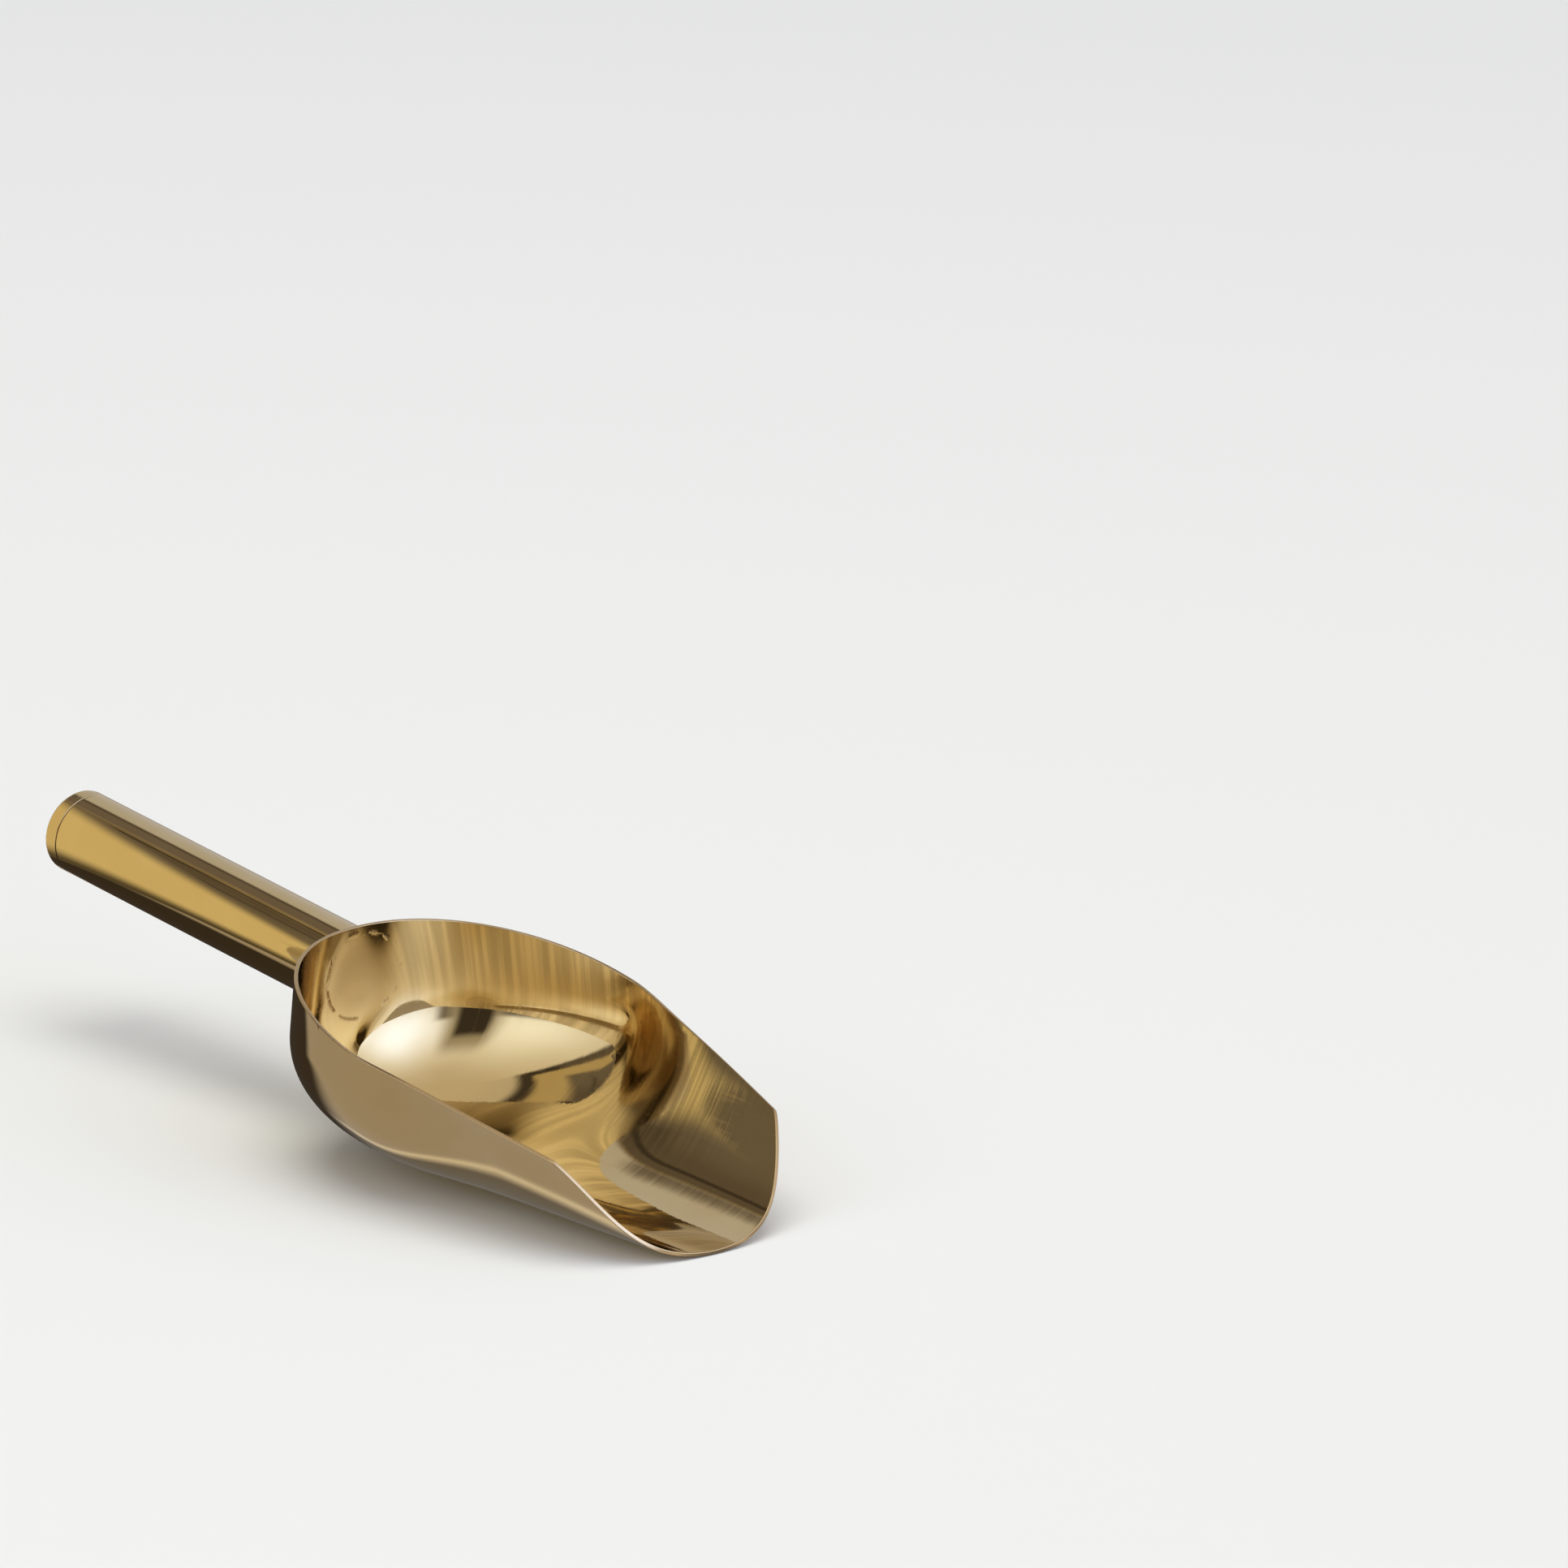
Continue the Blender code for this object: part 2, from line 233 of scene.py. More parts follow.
def inside_bowl(p):
    """Whether points lie inside the bowl's outer surface. It knows only the round back,
    behind FRONT_START, which is all that the handle and its weld meet."""
    z = p[..., 2]
    k = 1.0 + WALL_LEAN * (z - BELLY_HEIGHT) / BELLY_HEIGHT
    x = p[..., 0]
    x = np.where(x < SHOULDER_X, SHOULDER_X + (x - SHOULDER_X) / k, x)
    w = half_width(np.maximum(x, 1e-9))
    d = depth(np.maximum(x, 1e-9))
    y = np.abs(p[..., 1]) / k
    u = y / np.maximum(w, 1e-9)
    v = (BELLY_HEIGHT - z) / np.maximum(d, 1e-9)
    a = np.arctan2(u, np.maximum(v, 0.0))
    low = np.hypot(u, v) < 1.0 - SECTION_SLIM * np.sin(2.0 * a) ** 2
    return (x > 0.0) & np.where(z >= BELLY_HEIGHT, y < w, low)


# ---------------------------------------------------------------- mesh helpers
def piece(name, points, normals, faces, material):
    """A smooth piece with its exact surface directions, in the row frame."""
    mesh = bpy.data.meshes.new(name)
    shift = Vector((ORIGIN_SHIFT, 0.0, 0.0))
    mesh.from_pydata([Vector(p) + shift for p in points], [], faces)
    mesh.update()
    mesh.materials.append(material)
    mesh.shade_smooth()
    mesh.normals_split_custom_set_from_vertices([tuple(n) for n in normals])
    obj = bpy.data.objects.new(name, mesh)
    bpy.context.scene.collection.objects.link(obj)
    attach(obj, "root")
    return obj


def grid_faces(rows, columns, closed_rows=False, closed_columns=False, start=0):
    """Four-cornered faces between rows of points that are numbered from start."""
    faces = []
    for i in range(rows if closed_rows else rows - 1):
        k = (i + 1) % rows
        for j in range(columns if closed_columns else columns - 1):
            m = (j + 1) % columns
            faces.append((start + i * columns + j, start + i * columns + m,
                          start + k * columns + m, start + k * columns + j))
    return faces


OTHER_SIDE = np.array([1.0, -1.0, 1.0])


def mirrored(rows):
    """A half row from the bottom to the +Y rim, with the same half on the -Y side."""
    other = rows[:, :0:-1] * OTHER_SIDE
    return np.concatenate([other, rows], 1)


# ---------------------------------------------------------------- the bowl
def bowl_stations():
    """The places along X where the bowl is cut into sections, closer at both ends."""
    quarter = 0.5 * math.pi
    dome = SHOULDER_X * (1.0 - np.cos(quarter * np.arange(DOME_STEPS + 1) / DOME_STEPS))
    side = SHOULDER_X + (CORNER_X - SHOULDER_X) * np.arange(1, SIDE_STEPS + 1) / SIDE_STEPS
    lip = CORNER_X + LIP_LENGTH * np.sin(quarter * np.arange(1, LIP_STEPS + 1) / LIP_STEPS)
    return np.concatenate([dome, side, lip])


def back_out(z):
    """The direction out of the bowl on the upright line at its very back."""
    lean_out = SHOULDER_X * WALL_LEAN / BELLY_HEIGHT
    return unit(np.stack([-np.ones_like(z), np.zeros_like(z), -lean_out * np.ones_like(z)], -1))


def rim_rows(x, end):
    """Along the rim: its points, the way out of the bowl and the way up out of the sheet."""
    rim = skin(x, end)
    out = skin_out(x, end)
    out[0] = back_out(rim[0:1, 2])[0]
    loop = np.concatenate([rim[1:2] * OTHER_SIDE, rim, rim[-2:-1] * OTHER_SIDE])
    along = unit(loop[2:] - loop[:-2])
    up = unit(np.cross(along, out))
    up *= np.where(up[:, 2:3] + up[:, 0:1] < 0.0, -1.0, 1.0)
    return rim, out, up


def skin_grid(x, end, up):
    """The x and t of every point of the skin, its last row one edge rounding inside the
    rim, measured along the skin."""
    h = small_step(x)
    g = RIM_T_STEP
    slope_x = (skin(x + h, end) - skin(x - h, end)) / (2.0 * h)[:, None]
    slope_t = (skin(x, end + g) - skin(x, end - g)) / (2.0 * g)
    xx = np.sum(slope_x * slope_x, -1)
    tt = np.sum(slope_t * slope_t, -1)
    xt = np.sum(slope_x * slope_t, -1)
    up_x = np.sum(up * slope_x, -1)
    up_t = np.sum(up * slope_t, -1)
    area = xx * tt - xt * xt
    shift_x = np.where(x > VERY_BACK, (up_x * tt - up_t * xt) / area, 0.0)
    shift_t = np.where(x > VERY_BACK, (up_t * xx - up_x * xt) / area, 1.0 / np.sqrt(tt))
    x_rim = x - EDGE_ROUND * shift_x
    t_rim = end - EDGE_ROUND * shift_t
    shorter = CORNER_X + (x - CORNER_X) * (LIP_LENGTH - EDGE_ROUND) / LIP_LENGTH
    x_low = np.where(x > CORNER_X, shorter, x)
    t_rim[-1] = 0.0
    x_rim[-1] = x_low[-1]
    j = np.arange(SECTION_STEPS + 1) / SECTION_STEPS
    return x_low[:, None] + (x_rim - x_low)[:, None] * j[None, :], t_rim[:, None] * j[None, :]


def edge_rows(rim, out, up):
    """The sheet's edge: two small roundings with a narrow flat between them, right round
    the rim, as rows of points and of directions."""
    rim, out, up = (np.concatenate([v, v[-2:0:-1] * OTHER_SIDE]) for v in (rim, out, up))
    points = []
    normals = []
    for side in (1, -1):
        for k in range(1, EDGE_STEPS + 1)[::side]:
            t = 0.5 * math.pi * k / EDGE_STEPS
            drop = EDGE_ROUND * (1.0 - math.sin(t))
            draw = EDGE_ROUND * (1.0 - math.cos(t))
            if side < 0:
                draw = SHEET - draw
            points.append(rim - drop * up - draw * out)
            normals.append(unit(side * math.cos(t) * out + math.sin(t) * up))
    return points, normals


def build_bowl(material):
    x = bowl_stations()
    end = section_end(x)
    rim, rim_out, up = rim_rows(x, end)
    xs, ts = skin_grid(x, end, up)
    outer = skin(xs, ts)
    out = skin_out(xs, ts)
    outer[0, :, 1] = 0.0
    out[0] = back_out(outer[0, :, 2])
    rows_out = mirrored(outer)
    dirs_out = mirrored(out)
    rows_in = mirrored(outer - SHEET * out)
    edge_points, edge_normals = edge_rows(rim, rim_out, up)
    points = np.concatenate([rows_out.reshape(-1, 3), rows_in.reshape(-1, 3), *edge_points])
    normals = np.concatenate([dirs_out.reshape(-1, 3), -dirs_out.reshape(-1, 3), *edge_normals])

    m = len(x)
    columns = 2 * SECTION_STEPS + 1
    inner_start = m * columns
    edge_start = 2 * inner_start
    loop_size = len(edge_points[0])
    faces = grid_faces(m, columns)
    faces += [f[::-1] for f in grid_faces(m, columns, start=inner_start)]
    # From the outer skin's rim row over the edge's rows to the inner skin's rim row.
    first = [i * columns + columns - 1 for i in range(m)]
    first += [i * columns for i in range(m - 2, 0, -1)]
    chain = [first]
    chain += [[edge_start + r * loop_size + k for k in range(loop_size)]
              for r in range(len(edge_points))]
    chain += [[inner_start + v for v in first]]
    for a, b in zip(chain, chain[1:]):
        for k in range(loop_size):
            q = (k + 1) % loop_size
            faces.append((a[k], a[q], b[q], b[k]))

    inner = np.zeros(len(points))
    inner[inner_start:edge_start] = 1.0
    edge = np.zeros(len(points))
    edge[edge_start:] = 1.0
    return make_bowl_object(points, normals, faces, material, {"inner": inner, "edge": edge})


def make_bowl_object(points, normals, faces, material, marks):
    """Merges the rows that close up at the back and the tip, and turns faces out. marks
    are values kept for every point."""
    keys = {}
    index = []
    kept = []
    for i, p in enumerate(points):
        key = tuple(round(c * MERGE_SCALE) for c in p)
        if key not in keys:
            keys[key] = len(kept)
            kept.append(i)
        index.append(keys[key])
    clean = []
    for f in faces:
        g = []
        for v in f:
            w = index[v]
            if not g or g[-1] != w:
                g.append(w)
        if len(g) > 1 and g[0] == g[-1]:
            g.pop()
        if len(g) < 3 or len(set(g)) != len(g):
            continue
        a, b, c = (points[kept[v]] for v in g[:3])
        facing = np.cross(b - a, c - a)
        mean = sum(normals[kept[v]] for v in g)
        clean.append(tuple(g) if facing @ mean > 0.0 else tuple(g[::-1]))
    obj = piece("scoop_bowl_polished", points[kept], normals[kept], clean, material)
    for name, values in marks.items():
        obj.data.attributes.new(name, "FLOAT", "POINT").data.foreach_set("value", values[kept])
    return obj


# ---------------------------------------------------------------- handle, cap and weld
# The handle's line points forward and down into the bowl's back, from an origin at X = 0.
AXIS = Vector((math.cos(HANDLE_TILT), 0.0, -math.sin(HANDLE_TILT)))
HANDLE_UP = Vector((math.sin(HANDLE_TILT), 0.0, math.cos(HANDLE_TILT)))
HANDLE_ORIGIN = Vector((0.0, 0.0, HANDLE_HEIGHT))
ANGLES = 2.0 * math.pi * np.arange(ROUND_STEPS) / ROUND_STEPS
MEETING_REACH = 0.02          # the back is looked for this far to either side of the origin
MEETING_STEPS = 50


def round_handle(radius, angle):
    """The radius and the angle from straight up, as a step away from the handle's line."""
    side = np.array([0.0, 1.0, 0.0])
    return ((radius * np.cos(angle))[..., None] * np.array(HANDLE_UP)
            + (radius * np.sin(angle))[..., None] * side)


def handle_points(radius, angle, z):
    """Points by radius, angle from straight up, and distance back along the handle."""
    radius, angle, z = np.broadcast_arrays(radius, angle, z)
    return np.array(HANDLE_ORIGIN) - z[..., None] * np.array(AXIS) + round_handle(radius, angle)


def handle_directions(radial, back, angle):
    """Directions with a share away from the handle's line and a share back along it."""
    radial, back, angle = np.broadcast_arrays(radial, back, angle)
    return unit(round_handle(radial, angle) - back[..., None] * np.array(AXIS))


def meeting_distance(radius, angle):
    """How far along the handle's line the bowl's back is met, past the handle's origin."""
    low = np.full_like(angle, -MEETING_REACH)
    high = np.full_like(angle, MEETING_REACH)
    for _ in range(MEETING_STEPS):
        mid = 0.5 * (low + high)
        hit = inside_bowl(handle_points(radius, angle, -mid))
        high = np.where(hit, mid, high)
        low = np.where(hit, low, mid)
    return high


def turned(name, rows, normals, material, caps=()):
    """A piece of rings about the handle's axis. rows and normals are (rings, around, 3).
    caps are the middle point and direction of its first and last end; without them the
    last ring joins the first."""
    rings, around = rows.shape[0], rows.shape[1]
    points = rows.reshape(-1, 3)
    dirs = normals.reshape(-1, 3)
    faces = grid_faces(rings, around, closed_rows=not caps, closed_columns=True)
    ring_faces = len(faces)
    for ring, (middle, way) in zip((0, rings - 1), caps):
        for k in range(around):
            faces.append((ring * around + k, ring * around + (k + 1) % around, len(points)))
        points = np.concatenate([points, [middle]])
        dirs = np.concatenate([dirs, [way]])

    def facing(f):
        a, b, c = (points[v] for v in f[:3])
        return np.cross(b - a, c - a) @ sum(dirs[v] for v in f)

    # The rings' faces are turned out together, and each face of an end by itself.
    turn = sum(facing(f) for f in faces[:ring_faces]) < 0.0
    faced = [f[::-1] if turn else f for f in faces[:ring_faces]]
    faced += [f if facing(f) > 0.0 else f[::-1] for f in faces[ring_faces:]]
    return piece(name, points, dirs, faced, material)


def build_tube(material):
    """The open tube: its outside, the rounding at the seam, the seam's face and its bore."""
    inner = HANDLE_RADIUS - HANDLE_WALL
    end = HANDLE_LENGTH - 0.5 * GAP
    start_out = -meeting_distance(HANDLE_RADIUS, ANGLES) + TUBE_CLEAR
    start_in = -meeting_distance(inner, ANGLES) + TUBE_CLEAR
    rows = []
    dirs = []
    for k in range(TUBE_STEPS + 1):
        t = k / TUBE_STEPS
        back = start_out + (end - SEAM_ROUND - start_out) * t
        rows.append(handle_points(HANDLE_RADIUS, ANGLES, back))
        dirs.append(handle_directions(1.0, 0.0, ANGLES))
    for k in range(1, EDGE_STEPS + 1):
        t = 0.5 * math.pi * k / EDGE_STEPS
        rows.append(handle_points(HANDLE_RADIUS - SEAM_ROUND * (1.0 - math.cos(t)), ANGLES,
                                  end - SEAM_ROUND * (1.0 - math.sin(t))))
        dirs.append(handle_directions(math.cos(t), math.sin(t), ANGLES))
    rows.append(handle_points(inner, ANGLES, np.full_like(ANGLES, end)))
    dirs.append(handle_directions(-0.7, 0.7, ANGLES))
    rows.append(handle_points(inner, ANGLES, start_in))
    dirs.append(handle_directions(-0.7, -0.7, ANGLES))
    return turned("handle_tube_polished", np.stack(rows), np.stack(dirs), material)


def build_cap(material):
    """The solid cap: its spigot inside the tube, the seam's face, the round edge and the
    flat end. The profile holds radius, distance back, and the radial and back directions."""
    spigot = HANDLE_RADIUS - HANDLE_WALL - GAP
    spigot_end = HANDLE_LENGTH - SPIGOT_LENGTH
    seam = HANDLE_LENGTH + 0.5 * GAP
    end = HANDLE_LENGTH + CAP_LENGTH
    flat = HANDLE_RADIUS - CAP_EDGE
    profile = [(spigot, spigot_end, 0.7, -0.7),
               (spigot, seam - 0.0001, 1.0, 0.0),
               (spigot, seam, 0.0, -1.0),
               (HANDLE_RADIUS - SEAM_ROUND, seam, 0.0, -1.0)]
    for k in range(1, EDGE_STEPS + 1):
        t = 0.5 * math.pi * k / EDGE_STEPS
        profile.append((HANDLE_RADIUS - SEAM_ROUND + SEAM_ROUND * math.sin(t),
                        seam + SEAM_ROUND - SEAM_ROUND * math.cos(t),
                        math.sin(t), -math.cos(t)))
    for k in range(CAP_STEPS + 1):
        t = 0.5 * math.pi * k / CAP_STEPS
        profile.append((flat + CAP_EDGE * math.cos(t), end - CAP_EDGE + CAP_EDGE * math.sin(t),
                        math.cos(t), math.sin(t)))
    profile += [(flat * share, end, 0.0, 1.0) for share in (0.8, 0.6, 0.4, 0.2)]
    rows = np.stack([handle_points(p[0], ANGLES, p[1]) for p in profile])
    dirs = np.stack([handle_directions(p[2], p[3], ANGLES) for p in profile])
    axis = np.array(AXIS)
    front = (np.array(HANDLE_ORIGIN) - axis * spigot_end, axis)
    rear = (np.array(HANDLE_ORIGIN) - axis * end, -axis)
    return turned("handle_cap_polished", rows, dirs, material, caps=(front, rear))


def build_weld(material):
    """The fillet's hollow face, from its toe on the bowl to its top on the tube, and its
    foot, where the tube and the bowl meet."""
    inner = HANDLE_RADIUS + 0.5 * GAP
    foot = -meeting_distance(inner, ANGLES) + WELD_CLEAR
    toe = -meeting_distance(inner + WELD_LEG, ANGLES) + WELD_CLEAR
    slope = (foot - toe) / WELD_LEG
    rows = []
    dirs = []
    for k in range(WELD_STEPS + 1):
        t = 0.5 * math.pi * k / WELD_STEPS
        share = 1.0 - math.sin(t)
        base = toe + (foot - toe) * (1.0 - share)
        rows.append(handle_points(inner + WELD_LEG * share, ANGLES,
                                  base + WELD_LEG * (1.0 - math.cos(t))))
        # At the toe the face looks back, as the bowl does there, and at the top out from
        # the tube.
        dirs.append(handle_directions(math.cos(t) * slope + math.sin(t) + 1e-6,
                                      math.cos(t) + 1e-6, ANGLES))
    rows.append(handle_points(inner, ANGLES, foot))
    dirs.append(handle_directions(-0.7, -0.7, ANGLES))
    return turned("weld_fillet_polished", np.stack(rows), np.stack(dirs), material)


# ---------------------------------------------------------------- shader helpers
class Nodes:
    """Short ways to add nodes to one tree."""

    def __init__(self, tree):
        self.tree = tree

    def add(self, kind, **settings):
        """A new node with those settings."""
        node = self.tree.nodes.new(kind)
        for key, value in settings.items():
            setattr(node, key, value)
        return node

    def put(self, socket, value):
        """Links a socket to the input, or sets the input to a plain value."""
        if isinstance(value, bpy.types.NodeSocket):
            self.tree.links.new(value, socket)
        else:
            socket.default_value = value

    def math(self, operation, *values):
        node = self.add("ShaderNodeMath", operation=operation)
        for socket, value in zip(node.inputs, values):
            self.put(socket, value)
        return node.outputs[0]

    def vector(self, operation, *values):
        node = self.add("ShaderNodeVectorMath", operation=operation)
        for socket, value in zip(node.inputs, values):
            self.put(socket, value)
        return node.outputs[1] if operation in ("DOT_PRODUCT", "LENGTH", "DISTANCE") \
            else node.outputs[0]

    def range(self, value, low, high, to_low=0.0, to_high=1.0):
        """A smooth step between two values. It falls where low is the higher one."""
        node = self.add("ShaderNodeMapRange", clamp=True, interpolation_type="SMOOTHSTEP")
        for socket, item in zip(node.inputs, (value, low, high, to_low, to_high)):
            self.put(socket, item)
        return node.outputs[0]

    def mix(self, share, a, b):
        """A colour between a and b, each a plain colour or a socket."""
        node = self.add("ShaderNodeMix", data_type="RGBA")
        self.put(node.inputs[0], share)
        for socket, value in ((node.inputs[6], a), (node.inputs[7], b)):
            self.put(socket, (*value, 1.0) if isinstance(value, tuple) else value)
        return node.outputs[2]

    def split(self, vector):
        """The three parts of a vector."""
        node = self.add("ShaderNodeSeparateXYZ")
        self.put(node.inputs[0], vector)
        return node.outputs

    def times(self, a, b):
        return self.math("MULTIPLY", a, b)

    def bell(self, value, centre, spread):
        """1 at the centre, falling off like a bell curve."""
        off = self.math("DIVIDE", self.math("SUBTRACT", value, centre), spread)
        return self.math("EXPONENT", self.times(self.times(off, off), -0.5))


# ---------------------------------------------------------------- materials
GOLD = ((0.75, 0.575, 0.295), (0.725, 0.545, 0.268))       # bright and deep
CAP_GOLD = ((0.73, 0.555, 0.285), (0.69, 0.515, 0.255))
WELD_GOLD = ((0.70, 0.52, 0.26), (0.50, 0.34, 0.16))
TARNISH = (0.30, 0.17, 0.08)
# The darker gold of the upper inner walls and of a patch on the far shoulder.
DARKER_WALL_GOLD = (0.45, 0.335, 0.165)
HEAT_TINT = (0.36, 0.245, 0.115)
WELD_TRACE = (0.36, 0.23, 0.11)
GROUND_RIM = (0.66, 0.475, 0.25)

# How fine each noise is along X, Y and Z, in waves per metre.
GOLD_DRIFT = (55.0, 55.0, 55.0)
UPRIGHT_LINES = (1700.0, 70.0, 50.0)
LENGTHWAYS_LINES = (40.0, 900.0, 1500.0)
COARSE_LINES = (420.0, 25.0, 18.0)
DARKER_WALL_GAPS = (700.0, 14.0, 10.0)
BOWL_WAVES = (48.0, 48.0, 48.0)
WELD_BREAKS = (260.0, 260.0, 260.0)
WELD_BEADS = (1500.0, 1500.0, 1500.0)
WELD_GRAIN = (800.0, 800.0, 800.0)
RIM_GRAIN = (2400.0, 2400.0, 300.0)
TUBE_WAVES = (60.0, 60.0, 60.0)
# The same along the handle, up from it and across it, and for the cap out from its line
# and along it.
TUBE_LINES = (25.0, 1500.0, 1500.0)
TUBE_BROAD = (9.0, 420.0, 420.0)
CAP_RINGS = (3200.0, 2200.0, 1.0)
WELD_RIPPLES = 46.0           # radians of ripple for each radian round the handle

# How high the surface's unevenness stands, in metres.
WAVE_HEIGHT = 0.00003
LENGTHWAYS_HEIGHT = 0.0000012
UPRIGHT_HEIGHT = 0.0000026
COARSE_HEIGHT = 0.0000075
WELD_TRACE_HEIGHT = 0.00016
RIM_HEIGHT = 0.000012
TUBE_BROAD_HEIGHT = 0.000006
TUBE_LINE_HEIGHT = 0.0000016
CAP_RING_HEIGHT = 0.0000028
RIPPLE_HEIGHT = 0.000012
GRAIN_HEIGHT = 0.00004

# Specks: cells per metre, and the radius of a speck in metres.
BOWL_SPECKS = (210.0, 0.00016)
HANDLE_SPECKS = (260.0, 0.00014)
SPECK_SHARE = (0.70, 0.72)    # cells whose random value lies above this hold a speck

# From where to where in a noise a change comes in.
DEEP_GOLD = (0.35, 0.65)
DEEP_WELD = (0.40, 0.65)
WELD_BROKEN = (0.46, 0.60)
DARKER_WALL_BROKEN = (0.36, 0.58, 0.35, 1.0)    # and the share of the darker walls kept, from and to

# How strongly each mark colours the gold.
SPECK_TINT = 0.8
HEAT_STRENGTH = 0.70
TRACE_STRENGTH = 0.75

# How far the coarse lines shift the edge of a mark, in metres.
HEAT_SHIFT = 0.004
DARKER_WALL_SHIFT = 0.012

# Where the bowl's marks fade, in metres: from one value to the other.
TRACE_DEPTH = (0.018, 0.010)              # forward along the handle's line
WELD_RING = (HANDLE_RADIUS + 0.0006, 0.00030)   # radius and spread
HEAT_FADE = (0.0155, 0.0065)              # away from the handle's line
DARKER_WALL_HEIGHT = (0.026, 0.042)
SHOULDER_ALONG = (0.060, 0.013)           # middle and spread
SHOULDER_ACROSS = (0.012, 0.024)
SHOULDER_HEIGHT = (0.004, 0.012)

# What a noise does to the roughness: noise from and to, roughness from and to.
BOWL_ROUGH = (0.45, 0.80, 0.020, 0.075)
UPRIGHT_ROUGH = (0.56, 0.78, 0.0, 0.10)
TUBE_ROUGH = (0.45, 0.80, 0.025, 0.11)
CAP_ROUGH = (0.35, 0.75, 0.07, 0.17)
WELD_ROUGH = (0.35, 0.70, 0.18, 0.36)
# What each mark adds to the roughness.
SPECK_ROUGH = 0.35
DARKER_WALL_ROUGH = 0.11
TRACE_ROUGH = 0.16
RIM_ROUGH = 0.20


def metal(name):
    """A new metal, its node helper, its shader and the place on the surface."""
    mat = bpy.data.materials.new(name)
    mat.use_nodes = True
    bsdf = mat.node_tree.nodes["Principled BSDF"]
    bsdf.inputs["Metallic"].default_value = 1.0
    n = Nodes(mat.node_tree)
    return mat, n, bsdf, n.add("ShaderNodeTexCoord").outputs["Object"]


def finished(mat, n, bsdf, colour, rough, normal):
    """The material with its three inputs driven."""
    n.put(bsdf.inputs["Base Color"], colour)
    n.put(bsdf.inputs["Roughness"], rough)
    n.put(bsdf.inputs["Normal"], normal)
    return mat


def noise(n, place, stretch, detail=2.0):
    """Noise from 0 to 1 with stretch waves per metre along each axis."""
    node = n.add("ShaderNodeTexNoise")
    n.put(node.inputs["Vector"], n.vector("MULTIPLY", place, stretch))
    n.put(node.inputs["Scale"], 1.0)
    n.put(node.inputs["Detail"], detail)
    return node.outputs[0]


def bump(n, height, distance, normal=None):
    """A bump on the plain surface, or on top of an earlier bump's normal."""
    node = n.add("ShaderNodeBump")
    n.put(node.inputs["Height"], height)
    n.put(node.inputs["Distance"], distance)
    if normal is not None:
        n.put(node.inputs["Normal"], normal)
    return node.outputs[0]


def pits(n, place, density, size):
    """Small specks: 1 inside a few of the cells, near their centres."""
    cell = n.add("ShaderNodeTexVoronoi")
    n.put(cell.inputs["Vector"], place)
    n.put(cell.inputs["Scale"], density)
    random_value = n.split(cell.outputs["Color"])[0]
    near = n.range(cell.outputs["Distance"], size * density, 0.5 * size * density)
    return n.times(near, n.range(random_value, *SPECK_SHARE))


def handle_places(n, place):
    """Distance along the handle's axis, height over it, side of it, and distance from it."""
    centre = HANDLE_ORIGIN + Vector((ORIGIN_SHIFT, 0.0, 0.0))
    offset = n.vector("SUBTRACT", place, tuple(centre))
    along = n.vector("DOT_PRODUCT", offset, tuple(AXIS))
    high = n.vector("DOT_PRODUCT", offset, tuple(HANDLE_UP))
    side = n.split(offset)[1]
    away = n.math("SQRT", n.math("ADD", n.times(high, high), n.times(side, side)))
    return along, high, side, away


def joined(n, x, y, z):
    """One vector of three values."""
    node = n.add("ShaderNodeCombineXYZ")
    for socket, value in zip(node.inputs, (x, y, z)):
        n.put(socket, value)
    return node.outputs[0]


def marked(n, name):
    """1 on the bowl's points that carry the mark."""
    return n.add("ShaderNodeAttribute", attribute_name=name).outputs["Fac"]


def polished_colour(n, place, gold, specks):
    """Gold that drifts a little in depth, with small tarnished specks."""
    drift = n.range(noise(n, place, GOLD_DRIFT, 4.0), *DEEP_GOLD)
    return n.mix(n.times(specks, SPECK_TINT), n.mix(drift, *gold), TARNISH)


